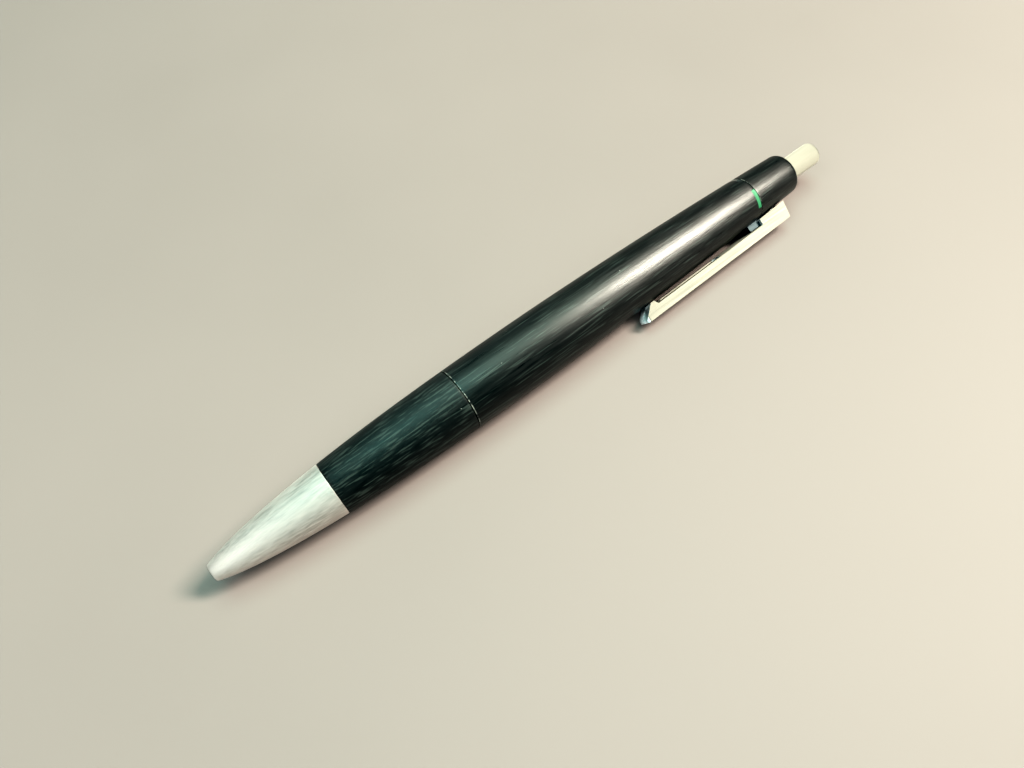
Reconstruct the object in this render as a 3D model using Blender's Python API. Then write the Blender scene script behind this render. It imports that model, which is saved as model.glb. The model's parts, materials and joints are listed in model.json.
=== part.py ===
"""Retractable four-colour pen, lying on its barrel and its clip.

World frame: metres, +X along the pen from the nose to the push button, +Z up,
origin under the middle of the pen on the surface it lies on.

Inside this file sizes are in millimetres. A station is a distance along the
pen's axis from the tip of the nose, and a reach is a distance from that axis.
A roll is an angle about the axis: 0 points up, and 90 points to -Y.
"""
import math

import bmesh
import bpy
from mathutils import Matrix, Vector

MM = 0.001

# Stations of the outside, nose to button
NOSE_END = 22.8
SLEEVE_END = 49.2
BARREL_END = 120.0
CAP_END = 131.0
LENGTH = 139.5

# Outer profile: widest in the middle, drawn in towards both ends
WIDEST = 66.0
BODY_RADIUS = 6.13
NOSE_REACH = 68.0
NOSE_POWER = 2.42
NOSE_ROUNDNESS = 0.52
REAR_REACH = 65.0
REAR_DROP = 1.98
REAR_POWER = 1.70

# Fits
SEAM = 0.10
FIT = 0.10
TOUCH = 0.15

# Which way things point
CLIP_ROLL = 122.2
GREEN_ROLL = CLIP_ROLL - 79.0
COLOURS = ("green", "black", "red", "blue")
CHANNEL_STEP = 90.0

# Refills, their carriers and the hole they share
STROKE = 8.2
CHANNEL_REACH = 2.3
REFILL_RADIUS = 1.15
REFILL_TIP = 6.5
REFILL_END = 73.5
PIVOT = 72.5
NOZZLE_RADIUS = 0.5
NOSE_BORE = 1.3

# Barrel and its mechanism
BARREL_BORE = 3.9
INSERT_BORE = 5.0
INSERT_END = 57.0
INSERT_START = 41.0
GUIDE_START = 76.0
GUIDE_END = 91.5
GUIDE_PLATE = 2.0
CHANNEL_BORE = 1.35
ROD_RADIUS = 0.8
HEAD_START = 100.0
HEAD_END = 102.0
HEAD_RADIUS = 1.3
SEAT_START = 116.0
SEAT_THICKNESS = 1.2
SELECTOR_START = 110.4
SELECTOR_END = 115.2

# Button and end cap
BUTTON_RADIUS = 2.36
BUTTON_START = 126.2
BUTTON_WALL = 1.3
CAP_BORE = 3.1
CAP_ROUND = 1.1
FLANGE_RADIUS = 2.9
BUSH_START = 127.9
BUSH_END = 129.3

# Clip, the tongue that carries it and the spring behind its hinge
CLIP_WIDTH = 3.8
CLIP_FRONT = 87.2
CLIP_END = 126.45
CLIP_THICKNESS = 1.98
CLIP_REACH = 8.5
CLIP_TAPER = 0.0177
CLIP_BLOCK = 119.5
TAIL_GAP = 0.38
HINGE_STATION = 122.0
HINGE_REACH = 5.5
PIN_RADIUS = 0.35
TONGUE_WIDTH = 2.2
TONGUE_START = 116.7
TONGUE_REACH = 5.88
CLIP_SPRING = 124.5
FOOT_BACK = 91.1
RECESS = (92.4, 108.4)
RECESS_WIDTH = 2.8
RECESS_DEPTH = 0.28

# Colour marks at the barrel's rear edge
MARK_LENGTH = 0.8
MARK_DEPTH = 0.35
MARK_SPAN = 49.0

# Wire springs
BUTTON_WIRE = 0.35
CARRIER_WIRE = 0.28
CLIP_WIRE = 0.22

FINE = 40
ROUND = 24
SMALL = 16

AXIS_HEIGHT = BODY_RADIUS
CLIP_SIDE = (CLIP_REACH * math.sin(math.radians(CLIP_ROLL))
             - CLIP_WIDTH / 2 * math.cos(math.radians(CLIP_ROLL)))
AXIS_SIDE = (CLIP_SIDE - BODY_RADIUS) / 2


def clear_scene():
    for item in list(bpy.data.objects):
        bpy.data.objects.remove(item, do_unlink=True)


def make_material(name, colour, roughness, metallic):
    material = bpy.data.materials.new(name)
    material.use_nodes = True
    shader = material.node_tree.nodes["Principled BSDF"]
    shader.inputs["Base Color"].default_value = (*colour, 1.0)
    shader.inputs["Roughness"].default_value = roughness
    shader.inputs["Metallic"].default_value = metallic
    material.diffuse_color = (*colour, 1.0)
    return material


STEEL = ((0.72, 0.70, 0.64), 0.32, 1.0)
SPRING_STEEL = ((0.55, 0.56, 0.58), 0.30, 1.0)
BRASS = ((0.72, 0.55, 0.24), 0.35, 1.0)
BLACK_PLASTIC = ((0.022, 0.022, 0.023), 0.42, 0.0)
PALE_PLASTIC = ((0.62, 0.62, 0.58), 0.50, 0.0)
INKS = {
    "green": ((0.05, 0.50, 0.22), 0.35, 0.0),
    "black": ((0.03, 0.03, 0.03), 0.30, 0.0),
    "red": ((0.60, 0.03, 0.03), 0.35, 0.0),
    "blue": ((0.03, 0.12, 0.55), 0.35, 0.0),
}


def outer_radius(station):
    """Radius of the pen's outside at a station, without the button."""
    if station <= WIDEST:
        fall = ((WIDEST - station) / NOSE_REACH) ** NOSE_POWER
        return BODY_RADIUS * (1 - fall) ** NOSE_ROUNDNESS
    return BODY_RADIUS - REAR_DROP * ((station - WIDEST) / REAR_REACH) ** REAR_POWER


def skin(start, end, steps):
    """Points along the outside, from one station to another."""
    stations = [start + (end - start) * i / steps for i in range(steps + 1)]
    return [(s, outer_radius(s)) for s in stations]


def pen_point(station, reach, roll):
    """World position, in metres, of a point in the pen."""
    turn = math.radians(roll)
    return Vector((station - LENGTH / 2,
                   AXIS_SIDE - reach * math.sin(turn),
                   AXIS_HEIGHT + reach * math.cos(turn))) * MM


def finish_mesh(name, mesh_data, look, smooth=False):
    """Turn a bmesh into a named object with its own material."""
    bmesh.ops.remove_doubles(mesh_data, verts=mesh_data.verts, dist=1e-7)
    bmesh.ops.recalc_face_normals(mesh_data, faces=mesh_data.faces)
    mesh = bpy.data.meshes.new(name)
    mesh_data.to_mesh(mesh)
    mesh_data.free()
    item = bpy.data.objects.new(name, mesh)
    bpy.context.collection.objects.link(item)
    if look:
        mesh.materials.append(make_material(name, *look))
    if smooth:
        mesh.shade_smooth()
    return item


def lathe(name, outline, look, segments=ROUND, reach=0.0, roll=0.0, origin=None):
    """Turn a closed outline of (station, radius) about a line along the pen."""
    start = outline[0][0] if origin is None else origin
    data = bmesh.new()
    ring = [data.verts.new(((s - start) * MM, 0.0, r * MM)) for s, r in outline]
    edges = [data.edges.new((ring[i], ring[(i + 1) % len(ring)])) for i in range(len(ring))]
    bmesh.ops.spin(data, geom=ring + edges, cent=(0, 0, 0), axis=(1, 0, 0),
                   angle=math.tau, steps=segments, use_merge=True)
    item = finish_mesh(name, data, look, smooth=True)
    item.location = pen_point(start, reach, roll)
    item.rotation_euler.x = math.radians(roll)
    return item


def slab(name, outline, width, look, origin, roll, offset=0.0):
    """Extrude a side outline of (station, reach) to a width across the pen."""
    data = bmesh.new()
    low = offset - width / 2
    corners = [data.verts.new(((s - origin[0]) * MM, low * MM, (r - origin[1]) * MM))
               for s, r in outline]
    face = data.faces.new(corners)
    grown = bmesh.ops.extrude_face_region(data, geom=[face])
    moved = [v for v in grown["geom"] if isinstance(v, bmesh.types.BMVert)]
    bmesh.ops.translate(data, verts=moved, vec=(0, width * MM, 0))
    item = finish_mesh(name, data, look)
    item.location = pen_point(origin[0], origin[1], roll)
    item.rotation_euler.x = math.radians(roll)
    return item


def as_cutter(item):
    item.hide_render = True
    item.display_type = "WIRE"
    return item


def cut(item, cutter):
    modifier = item.modifiers.new(cutter.name, "BOOLEAN")
    modifier.operation = "DIFFERENCE"
    modifier.solver = "EXACT"
    modifier.object = cutter


def bevel(item, width, segments=2):
    modifier = item.modifiers.new("bevel", "BEVEL")
    modifier.width = width * MM
    modifier.segments = segments
    modifier.limit_method = "ANGLE"


def radial_cylinder(name, radius, low, high, station, roll, segments=SMALL):
    """A cutter that points out from the axis."""
    data = bmesh.new()
    bmesh.ops.create_cone(data, cap_ends=True, segments=segments, radius1=radius * MM,
                          radius2=radius * MM, depth=(high - low) * MM)
    item = finish_mesh(name, data, None)
    item.location = pen_point(station, (low + high) / 2, roll)
    item.rotation_euler.x = math.radians(roll)
    return as_cutter(item)


def cross_cylinder(name, radius, width, station, reach, roll, look=None):
    """A pin or a hole that runs across the pen."""
    data = bmesh.new()
    bmesh.ops.create_cone(data, cap_ends=True, segments=SMALL, radius1=radius * MM,
                          radius2=radius * MM, depth=width * MM,
                          matrix=Matrix.Rotation(math.pi / 2, 4, "X"))
    item = finish_mesh(name, data, look)
    item.location = pen_point(station, reach, roll)
    item.rotation_euler.x = math.radians(roll)
    return item


def coil(name, start, end, mean_radius, wire, turns, look, place):
    """A round wire spring between two heights along its own axis."""
    per_turn = 10
    count = int(turns * per_turn)
    curve = bpy.data.curves.new(name, "CURVE")
    curve.dimensions = "3D"
    curve.bevel_depth = wire / 2 * MM
    curve.bevel_resolution = 0
    curve.use_fill_caps = True
    path = curve.splines.new("POLY")
    path.points.add(count)
    rise = end - start - wire
    for i in range(count + 1):
        turn = math.tau * i / per_turn
        along = wire / 2 + rise * i / count
        path.points[i].co = (*place(along, mean_radius * math.cos(turn), mean_radius * math.sin(turn)), 1.0)
    curve.materials.append(make_material(name, *look))
    item = bpy.data.objects.new(name, curve)
    bpy.context.collection.objects.link(item)
    return item


def lengthwise_coil(name, start, end, mean_radius, wire, turns, reach=0.0, roll=0.0):
    item = coil(name, start, end, mean_radius, wire, turns, SPRING_STEEL,
                lambda along, a, b: Vector((along, a, b)) * MM)
    item.location = pen_point(start, reach, roll)
    return item


def channel_roll(colour):
    return GREEN_ROLL - CHANNEL_STEP * COLOURS.index(colour)


def build_front_section():
    nose_counterbore = 4.15
    shoulder = 17.5
    spigot_bore = 3.6
    funnel_end = REFILL_TIP - 0.2
    funnel_radius = CHANNEL_REACH + 0.42
    tube_room = CHANNEL_REACH + REFILL_RADIUS + 0.11
    nose = skin(0.15, NOSE_END, 11)
    lathe("nose_cone",
          [(0.0, NOSE_BORE + 0.02)] + [(0.0, nose[0][1] - 0.15)] + nose
          + [(NOSE_END, nose_counterbore), (shoulder, nose_counterbore), (shoulder, spigot_bore),
             (REFILL_TIP + 5.0, tube_room), (REFILL_TIP + 1.0, funnel_radius + 0.19),
             (funnel_end, funnel_radius), (1.5, NOSE_BORE)],
          STEEL, FINE)
    sleeve = skin(NOSE_END + SEAM, SLEEVE_END, 7)
    lathe("front_sleeve",
          [(shoulder + 0.2, spigot_bore), (shoulder + 0.2, nose_counterbore - FIT),
           (NOSE_END + SEAM, nose_counterbore - FIT)] + sleeve
          + [(SLEEVE_END, INSERT_BORE), (INSERT_START - 0.3, INSERT_BORE),
             (INSERT_START - 0.3, 4.3), (30.0, spigot_bore)],
          BLACK_PLASTIC, FINE)


def build_barrel():
    start = SLEEVE_END + SEAM
    barrel = lathe("rear_barrel",
                   skin(start, BARREL_END, 16)
                   + [(BARREL_END, BARREL_BORE), (74.0, BARREL_BORE), (72.0, 4.5),
                      (INSERT_END + 0.2, 4.5), (INSERT_END + 0.2, INSERT_BORE), (start, INSERT_BORE)],
                   BLACK_PLASTIC, FINE)
    slot_start, slot_end = TONGUE_START - 0.2, TONGUE_START + 2.7
    slot = slab("bracket_slot", [(slot_start, 3.0), (slot_end, 3.0), (slot_end, 6.5), (slot_start, 6.5)],
                TONGUE_WIDTH + 0.2, None, (TONGUE_START, 5.0), CLIP_ROLL)
    cut(barrel, as_cutter(slot))
    for colour in COLOURS[:3]:
        notch = mark_ring(f"{colour}_notch", MARK_SPAN + 1.6, BARREL_END - MARK_LENGTH - 0.1,
                          BARREL_END + 1.0, MARK_DEPTH + 0.1, 1.0, channel_roll(colour), None)
        cut(barrel, as_cutter(notch))
        mark_ring(f"{colour}_mark", MARK_SPAN, BARREL_END - MARK_LENGTH, BARREL_END,
                  MARK_DEPTH, 0.0, channel_roll(colour), INKS[colour])
    lathe("threaded_insert",
          [(INSERT_START, 4.3), (INSERT_START, INSERT_BORE - FIT),
           (INSERT_END, INSERT_BORE - FIT), (INSERT_END, 4.3)],
          BRASS, ROUND)


def mark_ring(name, span, start, end, depth, proud, roll, look):
    """A curved strip, set into the barrel's surface and centred on a roll."""
    outer = outer_radius((start + end) / 2) + proud
    inner = outer_radius(BARREL_END) - depth
    steps = 12
    data = bmesh.new()
    section = [data.verts.new(((s - start) * MM, 0.0, r * MM))
               for s, r in ((start, inner), (end, inner), (end, outer), (start, outer))]
    face = data.faces.new(section)
    half = math.radians(span / 2)
    bmesh.ops.rotate(data, verts=section, cent=(0, 0, 0), matrix=Matrix.Rotation(-half, 3, "X"))
    bmesh.ops.spin(data, geom=[face], cent=(0, 0, 0), axis=(1, 0, 0), angle=2 * half, steps=steps)
    item = finish_mesh(name, data, look)
    item.location = pen_point(start, 0.0, 0.0)
    item.rotation_euler.x = math.radians(roll)
    return item


def build_end_cap():
    spigot = BARREL_BORE - FIT
    start = BARREL_END + SEAM
    corner = outer_radius(CAP_END - CAP_ROUND) - CAP_ROUND
    arc = [(CAP_END - CAP_ROUND + CAP_ROUND * math.sin(a), corner + CAP_ROUND * math.cos(a))
           for a in (math.radians(15 * i) for i in range(7))]
    cap = lathe("end_cap",
                [(117.6, CAP_BORE), (117.6, spigot), (start, spigot)]
                + skin(start, CAP_END - CAP_ROUND, 5)[:-1] + arc
                + [(CAP_END, BUTTON_RADIUS + 0.14), (BUSH_END + 0.1, BUTTON_RADIUS + 0.14),
                   (BUSH_END + 0.1, CAP_BORE)],
                BLACK_PLASTIC, FINE)
    cut(cap, radial_cylinder("spring_pocket", 1.15, 3.5, 6.0, CLIP_SPRING, CLIP_ROLL))
    lathe("button_bush",
          [(BUSH_START, BUTTON_RADIUS + 0.08), (BUSH_START, CAP_BORE - FIT),
           (BUSH_END, CAP_BORE - FIT), (BUSH_END, BUTTON_RADIUS + 0.08)],
          PALE_PLASTIC, ROUND)


def build_button():
    edge = 0.55
    arc = [(LENGTH - edge + edge * math.sin(a), BUTTON_RADIUS - edge + edge * math.cos(a))
           for a in (math.radians(18 * i) for i in range(6))]
    lathe("push_button",
          [(BUTTON_START, 1.95), (BUTTON_START, FLANGE_RADIUS), (BUTTON_START + 1.4, FLANGE_RADIUS),
           (BUTTON_START + 1.4, BUTTON_RADIUS)] + arc
          + [(LENGTH, 0.0), (LENGTH - BUTTON_WALL, 0.0), (LENGTH - BUTTON_WALL, 1.95)],
          STEEL, FINE)
    rod_end = LENGTH - BUTTON_WALL - 0.05
    lathe("push_rod",
          [(SELECTOR_START - 1.2, 0.0), (SELECTOR_START - 1.2, 0.7), (SELECTOR_END + 0.1, 0.7),
           (SELECTOR_END + 0.1, 1.0), (rod_end, 1.0), (rod_end, 0.0)],
          PALE_PLASTIC, SMALL)
    lathe("selector_washer",
          [(SELECTOR_START - 1.0, 0.75), (SELECTOR_START - 1.0, 0.93),
           (SELECTOR_START - 0.2, 0.93), (SELECTOR_START - 0.2, 0.75)],
          SPRING_STEEL, SMALL)
    lathe("spring_seat",
          [(SEAT_START, 1.15), (SEAT_START, BARREL_BORE - FIT),
           (SEAT_START + SEAT_THICKNESS, BARREL_BORE - FIT), (SEAT_START + SEAT_THICKNESS, 1.15)],
          PALE_PLASTIC, ROUND)
    lengthwise_coil("button_spring", SEAT_START + SEAT_THICKNESS + 0.05, rod_end, 1.5, BUTTON_WIRE, 11)


def build_selector():
    """A weight that hangs below the rod, and the finger that it holds uppermost."""
    hub = 1.6
    weight_reach = 3.6
    half = math.radians(75)
    arm = 0.75
    arm_top = 2.0
    outline = []
    steps = 12
    for i in range(steps + 1):
        turn = math.pi - half + 2 * half * i / steps
        outline.append((weight_reach * math.sin(turn), weight_reach * math.cos(turn)))
    hub_side = math.sqrt(hub ** 2 - arm ** 2)
    outline += [(-hub * math.sin(math.radians(80)), -hub * math.cos(math.radians(100))),
                (-arm, hub_side), (-arm, arm_top), (arm, arm_top), (arm, hub_side),
                (hub * math.sin(math.radians(80)), -hub * math.cos(math.radians(100)))]
    data = bmesh.new()
    corners = [data.verts.new((0.0, y * MM, z * MM)) for y, z in outline]
    face = data.faces.new(corners)
    grown = bmesh.ops.extrude_face_region(data, geom=[face])
    moved = [v for v in grown["geom"] if isinstance(v, bmesh.types.BMVert)]
    bmesh.ops.translate(data, verts=moved, vec=((SELECTOR_END - SELECTOR_START) * MM, 0, 0))
    weight = finish_mesh("selector_weight", data, BRASS)
    weight.location = pen_point(SELECTOR_START, 0.0, 0.0)
    weight.rotation_euler.x = math.radians(GREEN_ROLL)
    hole = as_cutter(lathe("selector_hole",
                           [(SELECTOR_START - 1, 0.0), (SELECTOR_START - 1, 0.78),
                            (SELECTOR_END + 1, 0.78), (SELECTOR_END + 1, 0.0)], None, SMALL))
    cut(weight, hole)
    tip = HEAD_END + 0.3
    finger = slab("selector_finger",
                  [(tip, 1.7), (tip, 3.0), (tip + 0.6, 3.3), (SELECTOR_END, 3.3), (SELECTOR_END, 2.1),
                   (tip + 2.5, 2.1), (tip + 1.6, 1.7)],
                  1.5, SPRING_STEEL, (tip, 0.0), GREEN_ROLL)
    finger.location = pen_point(tip, 0.0, 0.0)


def build_guide():
    radius = BARREL_BORE - FIT
    guide = lathe("channel_guide",
                  [(GUIDE_START, 0.0), (GUIDE_START, radius), (GUIDE_END, radius), (GUIDE_END, 0.0)],
                  PALE_PLASTIC, ROUND)
    floor = GUIDE_START + GUIDE_PLATE
    for colour in COLOURS:
        roll = channel_roll(colour)
        hole = lathe(f"{colour}_rod_hole",
                     [(GUIDE_START - 1, 0.0), (GUIDE_START - 1, ROD_RADIUS + 0.15),
                      (floor, ROD_RADIUS + 0.15), (floor, CHANNEL_BORE),
                      (GUIDE_END + 1, CHANNEL_BORE), (GUIDE_END + 1, 0.0)],
                     None, SMALL, CHANNEL_REACH, roll)
        cut(guide, as_cutter(hole))
        window = slab(f"{colour}_window",
                      [(floor, CHANNEL_REACH), (GUIDE_END + 1, CHANNEL_REACH),
                       (GUIDE_END + 1, radius + 1), (floor, radius + 1)],
                      2 * CHANNEL_BORE - 0.3, None, (floor, CHANNEL_REACH), roll)
        cut(guide, as_cutter(window))


def build_refill(colour):
    """One refill with the carrier that pushes it and the spring that returns it."""
    roll = channel_roll(colour)
    place = {"reach": CHANNEL_REACH, "roll": roll}
    shank = REFILL_TIP + 7.5
    lathe(f"{colour}_refill_tip",
          [(REFILL_TIP, 0.0), (REFILL_TIP, 0.12), (REFILL_TIP + 0.5, 0.3),
           (REFILL_TIP + 0.7, NOZZLE_RADIUS), (REFILL_TIP + 3.0, NOZZLE_RADIUS),
           (REFILL_TIP + 5.0, 1.1), (shank, 1.1), (shank, 0.85), (shank + 3.0, 0.85), (shank + 3.0, 0.0)],
          BRASS, SMALL, origin=PIVOT, **place)
    tube = shank + 0.1
    lathe(f"{colour}_refill_tube",
          [(tube, 0.95), (tube, REFILL_RADIUS), (REFILL_END, REFILL_RADIUS), (REFILL_END, 0.95),
           (REFILL_END - 4.0, 0.95), (REFILL_END - 4.0, 0.0), (tube + 3.2, 0.0), (tube + 3.2, 0.95)],
          SPRING_STEEL, SMALL, origin=PIVOT, **place)
    collar = REFILL_END + 0.1
    lathe(f"{colour}_carrier",
          [(REFILL_END - 2.4, 0.0), (REFILL_END - 2.4, 0.6), (collar, 0.6), (collar, 1.15),
           (GUIDE_START - 0.2, 1.15), (GUIDE_START - 0.2, ROD_RADIUS), (HEAD_START - 2.5, ROD_RADIUS),
           (HEAD_START - 2.5, 1.2), (HEAD_START - 1.0, 1.2), (HEAD_START, HEAD_RADIUS),
           (HEAD_END, HEAD_RADIUS), (HEAD_END, 0.0)],
          INKS[colour], SMALL, **place)
    lengthwise_coil(f"{colour}_carrier_spring", GUIDE_START + GUIDE_PLATE + 0.1, HEAD_START - 2.6,
                    1.05, CARRIER_WIRE, 9, CHANNEL_REACH, roll)


def clip_line(station):
    """Reach of the clip's outer face."""
    return CLIP_REACH - CLIP_TAPER * (station - 91.0)


def clip_recess():
    """Cutter for the long shallow recess, round at both ends, in the clip's inner face."""
    half, start, end = RECESS_WIDTH / 2, *RECESS
    data = bmesh.new()
    rims = []
    for lift in (-0.5, RECESS_DEPTH):
        rim = []
        for centre, first in ((end - half, -90), (start + half, 90)):
            for step in range(9):
                turn = math.radians(first + 180 * step / 8)
                station = centre + half * math.cos(turn)
                reach = clip_line(station) - CLIP_THICKNESS + lift
                rim.append(data.verts.new(Vector((station - HINGE_STATION, half * math.sin(turn),
                                                  reach - HINGE_REACH)) * MM))
        rims.append(rim)
    low, high = rims
    data.faces.new(low[::-1])
    data.faces.new(high)
    for i in range(len(low)):
        after = (i + 1) % len(low)
        data.faces.new((low[i], low[after], high[after], high[i]))
    recess = as_cutter(finish_mesh("clip_recess", data, None))
    recess.location = pen_point(HINGE_STATION, HINGE_REACH, CLIP_ROLL)
    recess.rotation_euler.x = math.radians(CLIP_ROLL)
    return recess


def build_clip():
    hinge = (HINGE_STATION, HINGE_REACH)
    foot_front = clip_line(CLIP_FRONT)
    outline = [(CLIP_FRONT + 0.2, foot_front), (CLIP_FRONT, foot_front - 0.2), (87.35, 8.0), (87.75, 7.5),
               (88.5, 6.8), (89.25, 6.05), (89.6, 5.8), (90.0, 5.2), (90.5, 5.2),
               (90.6, 5.7), (FOOT_BACK, clip_line(FOOT_BACK) - CLIP_THICKNESS),
               (CLIP_BLOCK, clip_line(CLIP_BLOCK) - CLIP_THICKNESS), (CLIP_BLOCK, 4.0),
               (CLIP_END, 4.0), (CLIP_END - 0.5, clip_line(CLIP_END - 0.5))]
    clip = slab("clip", outline, CLIP_WIDTH, STEEL, hinge, CLIP_ROLL)
    bevel(clip, 0.12)
    room = [(s, r + TOUCH) for s, r in skin(80.0, 100.0, 5)]
    room += [(s, r + TAIL_GAP) for s, r in skin(BARREL_END - 3.0, CAP_END, 4)]
    cut(clip, as_cutter(lathe("barrel_room", room + [(CAP_END, 0.0), (80.0, 0.0)], None, FINE)))
    fork_end, fork_roof = HINGE_STATION + 0.9, HINGE_REACH + 0.95
    low_roof = TONGUE_REACH + 0.12
    fork = [(CLIP_BLOCK - 1.0, 3.0), (fork_end, 3.0), (fork_end, fork_roof), (HINGE_STATION - 1.0, fork_roof),
            (HINGE_STATION - 1.5, low_roof), (CLIP_BLOCK - 1.0, low_roof)]
    cut(clip, as_cutter(slab("fork_slot", fork, TONGUE_WIDTH + 0.2, None, hinge, CLIP_ROLL)))
    cut(clip, as_cutter(cross_cylinder("pin_hole", PIN_RADIUS + 0.05, CLIP_WIDTH + 2,
                                       HINGE_STATION, HINGE_REACH, CLIP_ROLL)))
    cut(clip, radial_cylinder("clip_spring_pocket", 1.15, 3.0, 6.3, CLIP_SPRING, CLIP_ROLL))
    cut(clip, clip_recess())
    root, tip = TONGUE_START + 2.5, HINGE_STATION + 0.7
    bracket = slab("clip_bracket",
                   [(TONGUE_START, 4.05), (root, 4.05), (root, 4.82), (tip, 4.82), (tip, 5.8), (tip - 0.4, 6.15),
                    (tip - 1.4, 6.15), (tip - 2.0, TONGUE_REACH), (TONGUE_START + 0.3, TONGUE_REACH),
                    (TONGUE_START, TONGUE_REACH - 0.3)],
                   TONGUE_WIDTH, STEEL, hinge, CLIP_ROLL)
    cut(bracket, bpy.data.objects["pin_hole"])
    cross_cylinder("clip_pin", PIN_RADIUS, CLIP_WIDTH - 0.1, HINGE_STATION, HINGE_REACH, CLIP_ROLL, STEEL)
    spring = coil("clip_spring", 3.6, 6.25, 0.8, CLIP_WIRE, 4, SPRING_STEEL,
                  lambda along, a, b: Vector((a, b, along)) * MM)
    spring.location = pen_point(CLIP_SPRING, 3.6, CLIP_ROLL)
    spring.rotation_euler.x = math.radians(CLIP_ROLL)


def main():
    clear_scene()
    build_front_section()
    build_barrel()
    build_end_cap()
    build_button()
    build_selector()
    build_guide()
    for colour in COLOURS:
        build_refill(colour)
    build_clip()


main()
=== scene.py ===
import json
import math

import bmesh
import bpy
from mathutils import Euler, Matrix, Vector


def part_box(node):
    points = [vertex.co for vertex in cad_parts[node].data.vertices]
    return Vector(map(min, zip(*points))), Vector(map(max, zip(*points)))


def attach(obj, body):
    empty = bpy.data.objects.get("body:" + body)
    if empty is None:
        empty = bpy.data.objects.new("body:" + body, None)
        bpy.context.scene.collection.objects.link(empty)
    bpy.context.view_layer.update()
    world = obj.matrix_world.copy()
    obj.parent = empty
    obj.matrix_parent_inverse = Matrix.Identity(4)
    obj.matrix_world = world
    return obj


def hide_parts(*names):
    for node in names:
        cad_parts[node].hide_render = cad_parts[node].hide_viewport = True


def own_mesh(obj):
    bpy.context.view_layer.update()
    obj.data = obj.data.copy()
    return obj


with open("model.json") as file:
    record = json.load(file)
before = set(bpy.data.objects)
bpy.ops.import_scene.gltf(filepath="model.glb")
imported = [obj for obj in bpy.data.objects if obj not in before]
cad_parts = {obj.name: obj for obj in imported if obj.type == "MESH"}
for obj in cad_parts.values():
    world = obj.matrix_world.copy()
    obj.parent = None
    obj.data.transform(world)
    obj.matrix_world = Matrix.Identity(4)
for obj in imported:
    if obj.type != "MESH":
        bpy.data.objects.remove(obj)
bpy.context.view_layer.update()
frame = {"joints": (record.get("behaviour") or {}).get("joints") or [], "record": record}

# The pen's sizes are in millimetres: stations along it from the nose, reaches from its axis and
# rolls about it in degrees. Materials, lights, the floor and the dome are in metres.
MM = 0.001
JOINTS = {joint["name"]: joint for joint in frame["joints"]}
BODIES = frame["record"]["behaviour"]["bodies"]
BODY_OF = {node: body for body, nodes in BODIES.items() for node in nodes}

NOSE_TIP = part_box("nose_cone")[0].x
AXIS_SIDE = (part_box("rear_barrel")[0].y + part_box("rear_barrel")[1].y) / 2
AXIS_HEIGHT = (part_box("rear_barrel")[0].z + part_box("rear_barrel")[1].z) / 2


def station_of(x):
    return (x - NOSE_TIP) / MM


def starts(node):
    return station_of(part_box(node)[0].x)


def ends(node):
    return station_of(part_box(node)[1].x)


LENGTH = ends("push_button")
NOSE_END = ends("nose_cone")
SLEEVE_END = ends("front_sleeve")
BARREL_START = starts("rear_barrel")
BARREL_END = ends("rear_barrel")
CAP_END = ends("end_cap")
SEAM = BARREL_START - SLEEVE_END

# The outside swells to its widest at one station and draws in towards both ends.
WIDEST = 66.0
BODY_RADIUS = (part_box("rear_barrel")[1].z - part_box("rear_barrel")[0].z) / 2 / MM
NOSE_REACH, NOSE_POWER, NOSE_ROUNDNESS = 68.0, 2.42, 0.52
REAR_REACH, REAR_DROP, REAR_POWER = 65.0, 1.98, 1.70

COLOURS = ("green", "black", "red", "blue")
# The clip stands where the blue mark would be.
MARKED_COLOURS = COLOURS[:3]


def roll_of_axis(axis):
    """Roll, about the pen, of the side that a cross axis lifts: 0 is up and 90 is -Y."""
    return math.degrees(math.atan2(axis[2], axis[1]))


CLIP_ROLL = roll_of_axis(JOINTS["clip_open"]["axis"])
GREEN_ROLL = roll_of_axis([-a for a in JOINTS["green_refill_tilt"]["axis"]])


def pen_point(station, reach=0.0, roll=0.0):
    turn = math.radians(roll)
    return Vector((NOSE_TIP + station * MM,
                   AXIS_SIDE - reach * math.sin(turn) * MM,
                   AXIS_HEIGHT + reach * math.cos(turn) * MM))


def outer_radius(station):
    if station <= WIDEST:
        fall = ((WIDEST - station) / NOSE_REACH) ** NOSE_POWER
        return BODY_RADIUS * (1 - fall) ** NOSE_ROUNDNESS
    return BODY_RADIUS - REAR_DROP * ((station - WIDEST) / REAR_REACH) ** REAR_POWER


def skin(start, end, steps):
    return [(start + (end - start) * i / steps, outer_radius(start + (end - start) * i / steps))
            for i in range(steps + 1)]


# ---------------------------------------------------------------- mesh tools


def rounded(outline, steps=4):
    """Round the corners of a closed outline. A corner is (a, b, radius), a plain point (a, b)."""
    result = []
    count = len(outline)
    for i, corner in enumerate(outline):
        here = Vector(corner[:2])
        radius = corner[2] if len(corner) > 2 else 0.0
        if not radius:
            result.append(tuple(here))
            continue
        before = Vector(outline[i - 1][:2]) - here
        after = Vector(outline[(i + 1) % count][:2]) - here
        half = before.angle(after) / 2
        back = min(radius / math.tan(half), before.length * 0.48, after.length * 0.48)
        a, b = here + before.normalized() * back, here + after.normalized() * back
        for k in range(steps + 1):
            t = k / steps
            result.append(tuple(a * (1 - t) ** 2 + here * 2 * t * (1 - t) + b * t ** 2))
    return result


WELD = 2e-7
SHARP = 32


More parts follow.
